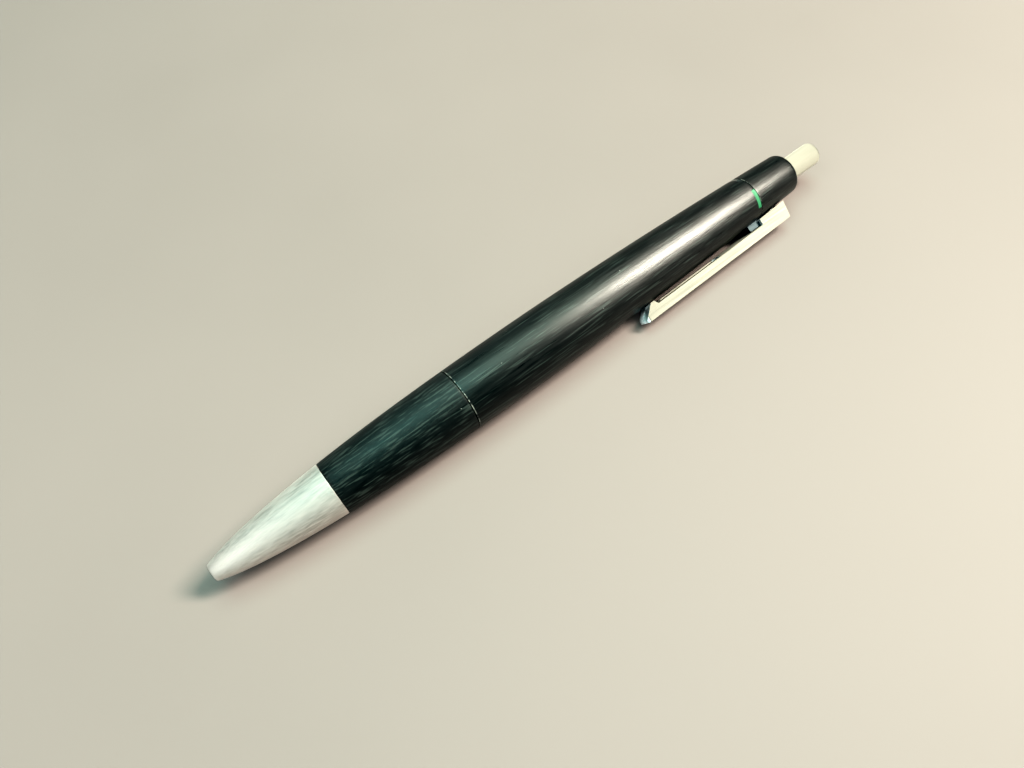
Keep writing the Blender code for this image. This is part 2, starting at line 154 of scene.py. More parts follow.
def object_from(name, data, material, sharp=SHARP):
    """Make an object of a bmesh, smooth but for edges sharper than an angle in degrees."""
    bmesh.ops.remove_doubles(data, verts=data.verts, dist=WELD)
    bmesh.ops.recalc_face_normals(data, faces=data.faces)
    mesh = bpy.data.meshes.new(name)
    data.to_mesh(mesh)
    data.free()
    mesh.materials.append(material)
    mesh.shade_smooth()
    mesh.set_sharp_from_angle(angle=math.radians(sharp))
    piece = bpy.data.objects.new(name, mesh)
    bpy.context.scene.collection.objects.link(piece)
    return piece


def lathe(name, outline, material, segments=128, reach=0.0, roll=0.0):
    """Turn a closed outline of (station, radius) about a line along the pen."""
    start = outline[0][0]
    data = bmesh.new()
    ring = [data.verts.new(((s - start) * MM, 0.0, r * MM)) for s, r in outline]
    edges = [data.edges.new((ring[i], ring[(i + 1) % len(ring)])) for i in range(len(ring))]
    bmesh.ops.spin(data, geom=ring + edges, cent=(0, 0, 0), axis=(1, 0, 0),
                   angle=math.tau, steps=segments, use_merge=True)
    piece = object_from(name, data, material)
    piece.location = pen_point(start, reach, roll)
    piece.rotation_euler.x = math.radians(roll)
    return piece


def stand_for(piece, node):
    """The piece takes a CAD node's place, on the same body."""
    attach(piece, BODY_OF[node])
    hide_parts(node)
    return piece


def cut(piece, cutter):
    """Subtract a cutter for good, and remove it."""
    modifier = piece.modifiers.new("cut", "BOOLEAN")
    modifier.operation = "DIFFERENCE"
    modifier.solver = "EXACT"
    modifier.object = cutter
    apply_modifiers(piece)
    bpy.data.objects.remove(cutter, do_unlink=True)


def apply_modifiers(piece):
    bpy.context.view_layer.update()
    graph = bpy.context.evaluated_depsgraph_get()
    made = bpy.data.meshes.new_from_object(piece.evaluated_get(graph))
    piece.modifiers.clear()
    piece.data = made


# ---------------------------------------------------------------- materials


class Nodes:
    """A short way to write a material's node tree."""

    def __init__(self, name, **shader):
        self.material = bpy.data.materials.new(name)
        self.material.use_nodes = True
        self.tree = self.material.node_tree
        self.shader = self.tree.nodes["Principled BSDF"]
        for socket, value in shader.items():
            self.shader.inputs[socket.replace("_", " ")].default_value = value
        self.place = self.add("ShaderNodeTexCoord").outputs["Object"]

    def add(self, kind, **settings):
        node = self.tree.nodes.new(kind)
        for key, value in settings.items():
            setattr(node, key, value)
        return node

    def link(self, output, node, socket):
        self.tree.links.new(output, node.inputs[socket])

    def scaled(self, scale, offset=(0, 0, 0)):
        node = self.add("ShaderNodeMapping")
        node.inputs["Scale"].default_value = scale
        node.inputs["Location"].default_value = offset
        self.link(self.place, node, "Vector")
        return node.outputs["Vector"]

    def noise(self, scale, detail=2.0, roughness=0.5, offset=(0, 0, 0)):
        """Noise with its own scale along X, Y and Z, in waves per metre."""
        node = self.add("ShaderNodeTexNoise")
        node.inputs["Scale"].default_value = 1.0
        node.inputs["Detail"].default_value = detail
        node.inputs["Roughness"].default_value = roughness
        self.link(self.scaled(scale, offset), node, "Vector")
        return node.outputs["Fac"]

    def ramp(self, value, low, high, a=0.0, b=1.0):
        node = self.add("ShaderNodeMapRange")
        for socket, number in (("From Min", low), ("From Max", high), ("To Min", a), ("To Max", b)):
            node.inputs[socket].default_value = number
        self.link(value, node, "Value")
        return node.outputs["Result"]

    def math(self, operation, a, b):
        node = self.add("ShaderNodeMath", operation=operation)
        for i, value in enumerate((a, b)):
            if isinstance(value, (int, float)):
                node.inputs[i].default_value = value
            else:
                self.link(value, node, i)
        return node.outputs[0]

    def mix(self, factor, a, b):
        node = self.add("ShaderNodeMix", data_type="RGBA")
        sockets = [s for s in node.inputs if s.type == "RGBA"]
        for socket, value in zip(sockets, (a, b)):
            if isinstance(value, tuple):
                socket.default_value = (*value, 1.0)
            else:
                self.tree.links.new(value, socket)
        self.link(factor, node, "Factor")
        return [s for s in node.outputs if s.type == "RGBA"][0]

    def axis(self, name):
        node = self.add("ShaderNodeSeparateXYZ")
        self.link(self.place, node, "Vector")
        return node.outputs[name]

    def colour(self, output):
        self.link(output, self.shader, "Base Color")

    def roughness(self, output):
        self.link(output, self.shader, "Roughness")

    def bump(self, height, distance, strength=1.0):
        node = self.add("ShaderNodeBump")
        node.inputs["Strength"].default_value = strength
        node.inputs["Distance"].default_value = distance
        self.link(height, node, "Height")
        self.link(node.outputs["Normal"], self.shader, "Normal")

    def red_of(self, colour):
        node = self.add("ShaderNodeSeparateColor")
        self.link(colour, node, "Color")
        return node.outputs["Red"]

    def round_the_pen(self):
        """Spread gloss across the brushing, which runs along the pen."""
        node = self.add("ShaderNodeTangent", direction_type="RADIAL", axis="X")
        self.link(node.outputs["Tangent"], self.shader, "Tangent")


def brushed_steel(name, tint, grain=(90, 4000, 4000), roughness=0.60):
    """Steel brushed lengthwise, a little worn in patches."""
    nodes = Nodes(name, Metallic=1.0, Anisotropic=0.6)
    fine = nodes.noise(grain, 3.0, 0.6)
    broad = nodes.noise(tuple(g / 3 for g in grain), 2.0, 0.5, (3.1, 1.7, 0.4))
    cloud = nodes.noise((90, 150, 150), 2.0, 0.5, (0.3, 5.0, 2.0))
    streak = nodes.math("ADD", nodes.math("MULTIPLY", fine, 0.72), nodes.math("MULTIPLY", broad, 0.28))
    shade = nodes.ramp(streak, 0.32, 0.68)
    dark = tuple(c * 0.66 for c in tint)
    base = nodes.mix(shade, dark, tint)
    worn = tuple(min(1.0, c * 0.90) for c in tint)
    nodes.colour(nodes.mix(nodes.ramp(cloud, 0.40, 0.62, 0.0, 0.5), base, worn))
    wear = nodes.math("ADD", streak, nodes.math("MULTIPLY", cloud, 0.2))
    nodes.roughness(nodes.ramp(wear, 0.45, 0.75, roughness - 0.07, roughness + 0.10))
    nodes.bump(streak, 0.00004, 0.6)
    nodes.round_the_pen()
    return nodes.material


def brushed_black(name, seams=(), fine_grain=(150, 3400, 3400), broad_grain=(65, 1600, 1600),
                  scratch_grain=(140, 3400, 3400), scratched=0.56, gloss_range=(0.26, 0.38)):
    """Satin plastic brushed lengthwise, with specks of dust and a pale, broken line at each seam that is a
    painted highlight on the seam's edge.
    """
    nodes = Nodes(name, Anisotropic=0.8, IOR=1.46)
    fine = nodes.noise(fine_grain, 4.0, 0.66)
    broad = nodes.noise(broad_grain, 3.0, 0.55, (1.3, 0.2, 4.4))
    cloud = nodes.noise((55, 120, 120), 3.0, 0.55, (7.0, 2.2, 1.0))
    scratch = nodes.noise(scratch_grain, 2.0, 0.5, (9.3, 4.0, 2.0))
    scratch = nodes.ramp(scratch, scratched, scratched + 0.12)
    streak = nodes.math("ADD", nodes.math("MULTIPLY", fine, 0.6), nodes.math("MULTIPLY", broad, 0.4))
    base = nodes.mix(nodes.ramp(streak, 0.36, 0.66), (0.0016, 0.0020, 0.0021), (0.0105, 0.0110, 0.0108))
    base = nodes.mix(nodes.ramp(cloud, 0.38, 0.64, 0.0, 0.55), base, (0.0035, 0.0040, 0.0042))
    base = nodes.mix(nodes.math("MULTIPLY", scratch, 0.5), base, (0.050, 0.062, 0.056))
    dust = nodes.add("ShaderNodeTexVoronoi")
    nodes.link(nodes.scaled((420, 420, 420), (0.37, 0.11, 0.71)), dust, "Vector")
    dust.inputs["Scale"].default_value = 1.0
    spot = nodes.math("LESS_THAN", dust.outputs["Distance"], 0.045)
    few = nodes.math("GREATER_THAN", nodes.red_of(dust.outputs["Color"]), 0.86)
    base = nodes.mix(nodes.math("MULTIPLY", spot, few), base, (0.16, 0.16, 0.15))
    # The pale broken line at each seam is a painted highlight: the light that the seam's edge catches.
    for seam in seams:
        near = nodes.math("ABSOLUTE", nodes.math("SUBTRACT", nodes.axis("X"), seam), 0.0)
        line = nodes.ramp(near, 0.00003, 0.00012, 1.0, 0.0)
        patchy = nodes.ramp(nodes.noise((300, 1400, 1400), 2.0, 0.6, (2.0, 8.0, 1.0)), 0.44, 0.64)
        base = nodes.mix(nodes.math("MULTIPLY", line, patchy), base, (0.23, 0.23, 0.21))
    nodes.colour(base)
    gloss = nodes.math("ADD", nodes.math("MULTIPLY", streak, 0.7), nodes.math("MULTIPLY", cloud, 0.3))
    nodes.roughness(nodes.ramp(gloss, 0.35, 0.65, *gloss_range))
    nodes.bump(streak, 0.00005, 0.9)
    nodes.round_the_pen()
    return nodes.material


def turned_metal(name, tint, roughness):
    """Metal with fine turning marks round the pen's axis."""
    nodes = Nodes(name, Metallic=1.0)
    rings = nodes.noise((5200, 260, 260), 3.0, 0.6)
    stain = nodes.noise((160, 240, 240), 3.0, 0.55, (4.0, 1.0, 2.0))
    base = nodes.mix(nodes.ramp(rings, 0.35, 0.65), tuple(c * 0.92 for c in tint), tint)
    nodes.colour(nodes.mix(nodes.ramp(stain, 0.45, 0.7, 0.0, 0.6), base, tuple(c * 0.78 for c in tint)))
    nodes.roughness(nodes.ramp(rings, 0.3, 0.7, roughness - 0.02, roughness + 0.06))
    nodes.bump(rings, 0.000004, 0.4)
    return nodes.material


def moulded(name, tint, roughness=0.45, coat=0.0):
    """Moulded plastic or enamel: a faint mottle and orange-peel surface."""
    nodes = Nodes(name, IOR=1.5, Coat_Weight=coat, Coat_Roughness=0.08)
    mottle = nodes.noise((900, 900, 900), 3.0, 0.55)
    peel = nodes.noise((2600, 2600, 2600), 2.0, 0.5, (3.0, 1.0, 7.0))
    deep = tuple(c * 0.80 for c in tint)
    nodes.colour(nodes.mix(nodes.ramp(mottle, 0.35, 0.65), deep, tint))
    nodes.roughness(nodes.ramp(peel, 0.3, 0.7, roughness - 0.05, roughness + 0.07))
    nodes.bump(peel, 0.000010, 0.5)
    return nodes.material


# Each steel part has the tint that makes it as bright as it is in the photo.
STEEL = brushed_steel("brushed_steel", (0.635, 0.566, 0.535), (50, 4000, 4000), 0.57)
# The clip is a darker copy of the same steel: painted shade that holds down the light its side catches.
CLIP_SHADED_STEEL = brushed_steel("clip_steel_painted_shade", (0.239, 0.233, 0.206))
# The button is a darker, rougher copy of the same steel: painted shade.
BUTTON_SHADED_STEEL = brushed_steel("button_steel_painted_shade", (0.39, 0.376, 0.332), roughness=0.78)
# A much paler, rougher copy of the clip's steel: a painted highlight on the front faces of the clip's
# foot.
FRONT_HIGHLIGHT_STEEL = brushed_steel("front_face_painted_highlight", (0.93, 0.98, 1.0), roughness=0.80)
# The bracket is a dark, bluish copy of the same steel: painted shade for its place under the clip.
BRACKET_SHADED_STEEL = brushed_steel("bracket_steel_painted_shade", (0.085, 0.105, 0.115))
WIRE = turned_metal("spring_wire", (0.56, 0.57, 0.58), 0.28)
REFILL_METAL = turned_metal("refill_tube", (0.66, 0.66, 0.65), 0.26)
BRASS = turned_metal("turned_brass", (0.78, 0.60, 0.30), 0.28)
PALE = moulded("pale_plastic", (0.60, 0.60, 0.56))
ENAMEL = {
    "green": moulded("green_enamel", (0.046, 0.205, 0.104), 0.62),
    "black": moulded("black_enamel", (0.045, 0.045, 0.044), 0.16, 0.6),
    "red": moulded("red_enamel", (0.55, 0.035, 0.03), 0.30, 0.4),
    "blue": moulded("blue_enamel", (0.03, 0.10, 0.50), 0.30, 0.4),
}

# EDGE rounds the outside edges at the seams, and HAIR the edges of bores.
EDGE = 0.035
HAIR = 0.03


# ---------------------------------------------------------------- the outside

NOSE_BORE = 1.3
NOSE_TAPER = [(11.5, 3.56), (7.5, 2.91), (6.3, 2.72)]
SPIGOT_ROOM = 4.15
SHOULDER = 17.5
SPIGOT_BORE = 3.6
INSERT_BORE = 5.0
INSERT_INNER = 4.3
BARREL_BORE = 3.9
THREAD_PITCH = 0.75
THREAD_DEPTH = 0.22
THREAD_STEP = 0.09
THREAD_POINTS = 84


def thread_wall(start, radius, step):
    """A straight wall with the points that a thread needs."""
    return [(start + step * i, radius) for i in range(THREAD_POINTS)]


def threaded(piece, start, low, high, radius, depth):
    """Cut a helical thread into the wall at one radius, fading out at both ends."""
    for vertex in piece.data.vertices:
        station = vertex.co.x / MM + start
        reach = math.hypot(vertex.co.y, vertex.co.z)
        if low < station < high and abs(reach / MM - radius) < 0.01:
            turn = math.atan2(vertex.co.z, vertex.co.y) / math.tau
            phase = (station / THREAD_PITCH - turn) % 1.0
            fade = min(1.0, (station - low) / THREAD_PITCH, (high - station) / THREAD_PITCH)
            grown = 1 + depth * fade * abs(2 * phase - 1) * MM / reach
            vertex.co.y *= grown
            vertex.co.z *= grown
    piece.data.set_sharp_from_angle(angle=math.radians(50))


def nose_cone():
    outline = rounded([(0.0, NOSE_BORE, HAIR), (0.0, outer_radius(0.15) - 0.03, 0.16)]
                      + skin(1.0, NOSE_END - 0.4, 40)
                      + [(NOSE_END, outer_radius(NOSE_END), EDGE), (NOSE_END, SPIGOT_ROOM, HAIR),
                         (SHOULDER, SPIGOT_ROOM), (SHOULDER, SPIGOT_BORE)]
                      + NOSE_TAPER + [(1.5, NOSE_BORE)])
    stand_for(lathe("steel_nose", outline, STEEL, 160), "nose_cone")


def front_sleeve():
    start = starts("front_sleeve")
    edge = NOSE_END + SEAM
    room_start = starts("threaded_insert") - 0.3
    spigot = SPIGOT_ROOM - 0.1
    wall = thread_wall(SLEEVE_END - 0.5, INSERT_BORE, -THREAD_STEP)
    outline = rounded([(start, SPIGOT_BORE), (start, spigot, 0.3), (edge, spigot),
                       (edge, outer_radius(edge), EDGE)]
                      + skin(edge + 0.6, SLEEVE_END - 0.6, 40)
                      + [(SLEEVE_END, outer_radius(SLEEVE_END), EDGE), (SLEEVE_END, INSERT_BORE, 0.15)]
                      + wall
                      + [(room_start, INSERT_BORE), (room_start, INSERT_INNER), (30.0, SPIGOT_BORE)])
    black = brushed_black("grip_black", fine_grain=(260, 3200, 3200), broad_grain=(110, 2000, 2000),
                          scratch_grain=(240, 3000, 3000), scratched=0.52, gloss_range=(0.33, 0.46))
    sleeve = lathe("front_grip", outline, black, 144)
    threaded(sleeve, start, room_start + 0.5, SLEEVE_END - 0.8, INSERT_BORE, THREAD_DEPTH)
    stand_for(sleeve, "front_sleeve")


def thread_insert():
    start, end = starts("threaded_insert"), ends("threaded_insert")
    outer, bore = INSERT_BORE - 0.1, INSERT_INNER
    wall = thread_wall(start + 0.5, outer, THREAD_STEP)
    outline = rounded([(start, bore, 0.1), (start, outer, 0.2)] + wall
                      + [(end, outer, 0.2), (end, bore, 0.1)])
    insert = lathe("brass_thread", outline, BRASS, 144)
    threaded(insert, start, start + 0.4, SLEEVE_END - 0.7, outer, -THREAD_DEPTH)
    stand_for(insert, "threaded_insert")


MARK_SPAN, MARK_LENGTH, MARK_SUNK = 49.4, 0.80, 0.015
NOTCH_SPAN, NOTCH_LENGTH = 50.2, 0.86
STRIP_DEPTH = 0.37


def rear_barrel():
    step, step_bore = ends("threaded_insert") + 0.2, 4.5
    outline = rounded([(BARREL_START, INSERT_BORE, 0.15), (BARREL_START, outer_radius(BARREL_START), EDGE)]
                      + skin(BARREL_START + 0.6, BARREL_END - 0.6, 90)
                      + [(BARREL_END, outer_radius(BARREL_END), EDGE), (BARREL_END, BARREL_BORE, HAIR),
                         (74.0, BARREL_BORE), (72.0, step_bore), (step, step_bore), (step, INSERT_BORE)])
    black = brushed_black("barrel_black", [0.0, (BARREL_END - BARREL_START) * MM])
    shell = lathe("barrel_shell", outline, black, 160)
    cut(shell, slab("slot_tool", SLOT, TONGUE_WIDTH + 0.2, black, SLOT_ORIGIN, CLIP_ROLL))
    for colour in MARKED_COLOURS:
        roll = roll_of(colour)
        cut(shell, strip("notch_tool", NOTCH_SPAN, BARREL_END - NOTCH_LENGTH, BARREL_END + 1, 1.0,
                         roll, black))
        mark = strip(f"{colour}_index", MARK_SPAN, BARREL_END - MARK_LENGTH, BARREL_END - 0.01,
                     -MARK_SUNK, roll, ENAMEL[colour])
        bevel(mark, 0.035, 2)
        stand_for(mark, f"{colour}_mark")
    shell.data.set_sharp_from_angle(angle=math.radians(SHARP))
    stand_for(shell, "rear_barrel")


def roll_of(colour):
    return GREEN_ROLL - 90 * COLOURS.index(colour)


def strip(name, span, start, end, proud, roll, material):
    """A curved strip in the barrel's surface, which spans an angle about a roll."""
    outer = outer_radius(BARREL_END) + proud
    inner = outer_radius(BARREL_END) - STRIP_DEPTH
    data = bmesh.new()
    section = [data.verts.new(((s - start) * MM, 0.0, r * MM))
               for s, r in ((start, inner), (end, inner), (end, outer), (start, outer))]
    face = data.faces.new(section)
    half = math.radians(span / 2)
    turn = Euler((-half, 0, 0)).to_matrix()
    bmesh.ops.rotate(data, verts=section, cent=(0, 0, 0), matrix=turn)
    bmesh.ops.spin(data, geom=[face], cent=(0, 0, 0), axis=(1, 0, 0), angle=2 * half, steps=28)
    piece = object_from(name, data, material)
    piece.location = pen_point(start)
    piece.rotation_euler.x = math.radians(roll)
    return piece


def slab(name, outline, width, material, origin, roll):
    """Extrude a side outline of (station, reach) to a width across the pen."""
    data = bmesh.new()
    corners = [data.verts.new(((s - origin[0]) * MM, -width / 2 * MM, (r - origin[1]) * MM))
               for s, r in outline]
    face = data.faces.new(corners)
    grown = bmesh.ops.extrude_face_region(data, geom=[face])
    moved = [v for v in grown["geom"] if isinstance(v, bmesh.types.BMVert)]
    bmesh.ops.translate(data, verts=moved, vec=(0, width * MM, 0))
    piece = object_from(name, data, material)
    piece.location = pen_point(origin[0], origin[1], roll)
    piece.rotation_euler.x = math.radians(roll)
    return piece


def bevel(piece, width, segments, limit=28):
    modifier = piece.modifiers.new("bevel", "BEVEL")
    modifier.width = width * MM
    modifier.segments = segments
    modifier.limit_method = "ANGLE"
    modifier.angle_limit = math.radians(limit)
    apply_modifiers(piece)


def even_shading(piece, limit):
    """Keep flat faces flat to the eye after cuts and bevels."""
    piece.data.shade_smooth()
    piece.data.set_sharp_from_angle(angle=math.radians(limit))
    modifier = piece.modifiers.new("normals", "WEIGHTED_NORMAL")
    modifier.keep_sharp = True
    apply_modifiers(piece)


def drill(name, radius, low, high, station):
    """A tool that points out from the axis, on the clip's side."""
    data = bmesh.new()
    bmesh.ops.create_cone(data, cap_ends=True, segments=32, radius1=radius * MM, radius2=radius * MM,
                          depth=(high - low) * MM)
    piece = object_from(name, data, STEEL)
    piece.location = pen_point(station, (low + high) / 2, CLIP_ROLL)
    piece.rotation_euler.x = math.radians(CLIP_ROLL)
    return piece


def cross_pin(name, radius, width, material, chamfer=0.0):
    """A round pin across the pen, on the clip's hinge."""
    half = width / 2
    data = bmesh.new()
    ring = [data.verts.new((0.0, y * MM, r * MM)) for y, r in
            ((-half, 0.0), (-half, radius - chamfer), (-half + chamfer, radius),
             (half - chamfer, radius), (half, radius - chamfer), (half, 0.0))]
    edges = [data.edges.new((ring[i], ring[i + 1])) for i in range(len(ring) - 1)]
    bmesh.ops.spin(data, geom=ring + edges, cent=(0, 0, 0), axis=(0, 1, 0),
                   angle=math.tau, steps=32, use_merge=True)
    piece = object_from(name, data, material)
    piece.location = pen_point(*HINGE, CLIP_ROLL)
    piece.rotation_euler.x = math.radians(CLIP_ROLL)
    return piece


def end_cap():
    start = BARREL_END + SEAM
    spigot_start = starts("end_cap")
    bore, mouth, lip, roundness = 3.1, 2.5, 129.4, 1.75
    outline = rounded([(spigot_start, bore), (spigot_start, 3.8, 0.2), (start, 3.8),
                       (start, outer_radius(start), EDGE)]
                      + skin(start + 0.5, CAP_END - 2.2, 16)
                      + [(CAP_END, outer_radius(CAP_END), roundness), (CAP_END, mouth, 0.12),
                         (lip, mouth), (lip, bore)], 10)
    cap = lathe("cap_shell", outline, brushed_black("cap_black", [(start - spigot_start) * MM]), 160)
    cut(cap, drill("pocket_tool", POCKET_RADIUS, 3.5, 6.0, SPRING_STATION))
    cap.data.set_sharp_from_angle(angle=math.radians(SHARP))
    stand_for(cap, "end_cap")


# ---------------------------------------------------------------- button


def push_button():
    start, radius, flange, bore = starts("push_button"), 2.36, 2.9, 1.95
    flange_end, roof = start + 1.4, LENGTH - 1.3
    outline = rounded([(start, bore), (start, flange, 0.1), (flange_end, flange, 0.1),
                       (flange_end, radius), (LENGTH, radius, 0.62), (LENGTH, 0.0), (roof, 0.0),
                       (roof, bore)], 8)
    stand_for(lathe("steel_button", outline, BUTTON_SHADED_STEEL, 96), "push_button")


def button_bush():
    low, high, bore, radius = starts("button_bush"), ends("button_bush"), 2.44, 3.0
    bush = rounded([(low, bore, 0.12), (low, radius, 0.15), (high, radius, 0.15), (high, bore, 0.12)])
    stand_for(lathe("guide_bush", bush, PALE, 72), "button_bush")


def push_rod():
    low, high, neck = starts("push_rod"), ends("push_rod"), ends("selector_weight") + 0.1
    thin, thick = 0.7, 1.0
    rod = rounded([(low, 0.0), (low, thin, 0.15), (neck, thin, 0.05), (neck, thick, 0.08),
                   (high, thick, 0.15), (high, 0.0)])
    stand_for(lathe("thrust_rod", rod, PALE, 48), "push_rod")


def selector_washer():
    low, high, bore, radius = starts("selector_washer"), ends("selector_washer"), 0.75, 0.93
    washer = rounded([(low, bore, 0.04), (low, radius, 0.06), (high, radius, 0.06), (high, bore, 0.04)])
    stand_for(lathe("retaining_ring", washer, WIRE, 48), "selector_washer")


def spring_seat():
    """The disc that the button's spring bears on, with a shallow groove round its hole."""
    low, high, bore, radius = starts("spring_seat"), ends("spring_seat"), 1.15, 3.8
    groove = high - 0.35
    seat = rounded([(low, bore, 0.1), (low, radius, 0.15), (high, radius, 0.15), (high, 2.1),
                    (groove, 2.0), (groove, 1.25), (high, bore, 0.0)])
    stand_for(lathe("seat_disc", seat, PALE, 72), "spring_seat")


# ---------------------------------------------------------------- clip

TONGUE_WIDTH = 2.2
TONGUE_START = starts("clip_bracket")
TONGUE_REACH = 5.88
SLOT_START, SLOT_END = TONGUE_START - 0.2, TONGUE_START + 2.7
SLOT = [(SLOT_START, 3.0), (SLOT_END, 3.0), (SLOT_END, 6.5), (SLOT_START, 6.5)]
SLOT_ORIGIN = (117.0, 5.0)
CLIP_WIDTH = 3.8
CLIP_FRONT = starts("clip")
CLIP_END = ends("clip")
CLIP_THICKNESS = 1.98
CLIP_TOP, CLIP_SLOPE, CLIP_TOP_AT = 8.5, 0.0177, 91.0
FOOT_BACK = 91.1
CLIP_BLOCK = 119.5
RECESS, RECESS_WIDTH, RECESS_DEPTH = (92.4, 108.4), 2.8, 0.28
CORNER_RADIUS = 0.75
POCKET_RADIUS = 1.15
FOOT_GAP = 0.15
TAIL_GAP = 0.38
PIN_RADIUS, PIN_WIDTH, PIN_HOLE = 0.35, 3.3, 0.40
# Clip faces that point towards the nose more than this take the painted highlight.
HIGHLIGHT_FACING = -0.3
SPRING_STATION = (starts("clip_spring") + ends("clip_spring")) / 2
HINGE_AT = Vector(JOINTS["clip_open"]["pos_m"])
HINGE = (station_of(HINGE_AT.x),
         math.hypot(HINGE_AT.y - AXIS_SIDE, HINGE_AT.z - AXIS_HEIGHT) / MM)


def clip_line(station):
    """Reach of the clip's outer face."""
    return CLIP_TOP - CLIP_SLOPE * (station - CLIP_TOP_AT)


def clip_inner(station):
    return clip_line(station) - CLIP_THICKNESS


def recess_tool():
    """The long shallow recess, round at both ends, in the clip's inner face."""
    half, (start, end) = RECESS_WIDTH / 2, RECESS
    chamfer, steps = 0.08, 24
    data = bmesh.new()
    rims = []
    for lift, grow in ((-0.5, chamfer), (0.0, chamfer), (chamfer, 0.0), (RECESS_DEPTH, 0.0)):
        rim = []
        for centre, first in ((end - half, -90), (start + half, 90)):
            for step in range(steps + 1):
                turn = math.radians(first + 180 * step / steps)
                station = centre + (half + grow) * math.cos(turn)
                across = (half + grow) * math.sin(turn)
                reach = clip_inner(station) + lift
                rim.append(data.verts.new(Vector((station - HINGE[0], across, reach - HINGE[1])) * MM))
        rims.append(rim)
    data.faces.new(rims[0][::-1])
    data.faces.new(rims[-1])
    count = len(rims[0])
    for low, high in zip(rims, rims[1:]):
        for i in range(count):
            data.faces.new((low[i], low[(i + 1) % count], high[(i + 1) % count], high[i]))
    tool = object_from("recess_tool", data, CLIP_SHADED_STEEL)
    tool.location = pen_point(*HINGE, CLIP_ROLL)
    tool.rotation_euler.x = math.radians(CLIP_ROLL)
    return tool


def corner_tool(side):
    """Rounds one front corner of the clip, seen from its outer face."""
    radius, steps, floor, height = CORNER_RADIUS, 10, -3, 8.0
    station, across = CLIP_FRONT + radius, CLIP_WIDTH / 2 - radius
    arc = [math.radians(90 / steps * i) for i in range(steps + 1)]
    plan = [(CLIP_FRONT - 1, CLIP_WIDTH / 2 + 1), (CLIP_FRONT - 1, across)]
    plan += [(station - radius * math.cos(a), across + radius * math.sin(a)) for a in arc]
    plan += [(station, CLIP_WIDTH / 2 + 1)]
    data = bmesh.new()
    corners = [data.verts.new(((s - HINGE[0]) * MM, side * y * MM, floor * MM)) for s, y in plan]
    grown = bmesh.ops.extrude_face_region(data, geom=[data.faces.new(corners)])
    moved = [v for v in grown["geom"] if isinstance(v, bmesh.types.BMVert)]
    bmesh.ops.translate(data, verts=moved, vec=(0, 0, height * MM))
    tool = object_from("corner_tool", data, CLIP_SHADED_STEEL)
    tool.location = pen_point(*HINGE, CLIP_ROLL)
    tool.rotation_euler.x = math.radians(CLIP_ROLL)
    return tool


def clip_blank():
    """The clip's side outline at full width, with its foot in front and its block behind."""
    tail = CLIP_END - 0.5
    foot = [(CLIP_FRONT, clip_line(CLIP_FRONT), 0.25), (87.35, 8.0, 0.2), (87.75, 7.5, 0.3),
            (88.5, 6.8, 0.3), (89.25, 6.05, 0.2), (89.6, 5.8, 0.2), (90.0, 5.0), (90.4, 5.0),
            (90.6, 5.7, 0.2), (FOOT_BACK, clip_inner(FOOT_BACK), 0.3)]
    block = [(CLIP_BLOCK, clip_inner(CLIP_BLOCK), 0.12), (CLIP_BLOCK, 4.0), (CLIP_END, 4.0),
             (tail, clip_line(tail), 0.08)]
    return slab("sprung_clip", rounded(foot + block, 5), CLIP_WIDTH, CLIP_SHADED_STEEL, HINGE, CLIP_ROLL)


def clip():
    """Cut the blank to clear the barrel, the bracket, the pin and the spring, and sink the recess."""
    piece = clip_blank()
    for side in (-1, 1):
        cut(piece, corner_tool(side))
    bevel(piece, 0.13, 3)
    room_start = 80.0
    room = [(s, r + FOOT_GAP) for s, r in skin(room_start, 100.0, 12)]
    room += [(s, r + TAIL_GAP) for s, r in skin(117.0, CAP_END, 12)]
    cut(piece, lathe("room_tool", room + [(CAP_END, 0.0), (room_start, 0.0)], CLIP_SHADED_STEEL, 160))
    station, reach = HINGE
    fork_start, fork_end, roof = CLIP_BLOCK - 1.0, station + 0.9, reach + 0.95
    low_roof = TONGUE_REACH + 0.12
    fork = [(fork_start, 3.0), (fork_end, 3.0), (fork_end, roof), (station - 1.0, roof),
            (station - 1.5, low_roof), (fork_start, low_roof)]
    cut(piece, slab("fork_tool", fork, TONGUE_WIDTH + 0.2, CLIP_SHADED_STEEL, HINGE, CLIP_ROLL))
    cut(piece, cross_pin("hole_tool", PIN_HOLE, PIN_WIDTH + 0.1, CLIP_SHADED_STEEL))
    cut(piece, drill("spring_tool", POCKET_RADIUS, 3.0, 6.3, SPRING_STATION))
    cut(piece, recess_tool())
    even_shading(piece, 40)
    # The faces that point towards the nose take the paler steel, a painted highlight on the foot's front.
    piece.data.materials.append(FRONT_HIGHLIGHT_STEEL)
    for face in piece.data.polygons:
        face.material_index = 1 if face.normal.x < HIGHLIGHT_FACING else 0
    stand_for(piece, "clip")


def clip_bracket():
    """The tongue that holds the clip's pin, rooted in the barrel's slot."""
    root, tip, inner, outer = TONGUE_START + 2.5, HINGE[0] + 0.7, 4.82, 6.15
    tongue = rounded([(TONGUE_START, 4.05), (root, 4.05), (root, inner), (tip, inner, 0.1),
                      (tip, 5.8, 0.3), (tip - 0.4, outer, 0.2), (tip - 1.4, outer, 0.2),
                      (tip - 2.0, TONGUE_REACH, 0.2), (TONGUE_START + 0.3, TONGUE_REACH, 0.2),
                      (TONGUE_START, TONGUE_REACH - 0.3, 0.2)])
    bracket = slab("hinge_tongue", tongue, TONGUE_WIDTH, BRACKET_SHADED_STEEL, HINGE, CLIP_ROLL)
    bevel(bracket, 0.10, 2)
    cut(bracket, cross_pin("tongue_hole_tool", PIN_HOLE, 4.0, CLIP_SHADED_STEEL))
    even_shading(bracket, 40)
    stand_for(bracket, "clip_bracket")


def clip_pin():
    stand_for(cross_pin("hinge_pin", PIN_RADIUS, PIN_WIDTH, STEEL, 0.06), "clip_pin")


# ---------------------------------------------------------------- springs


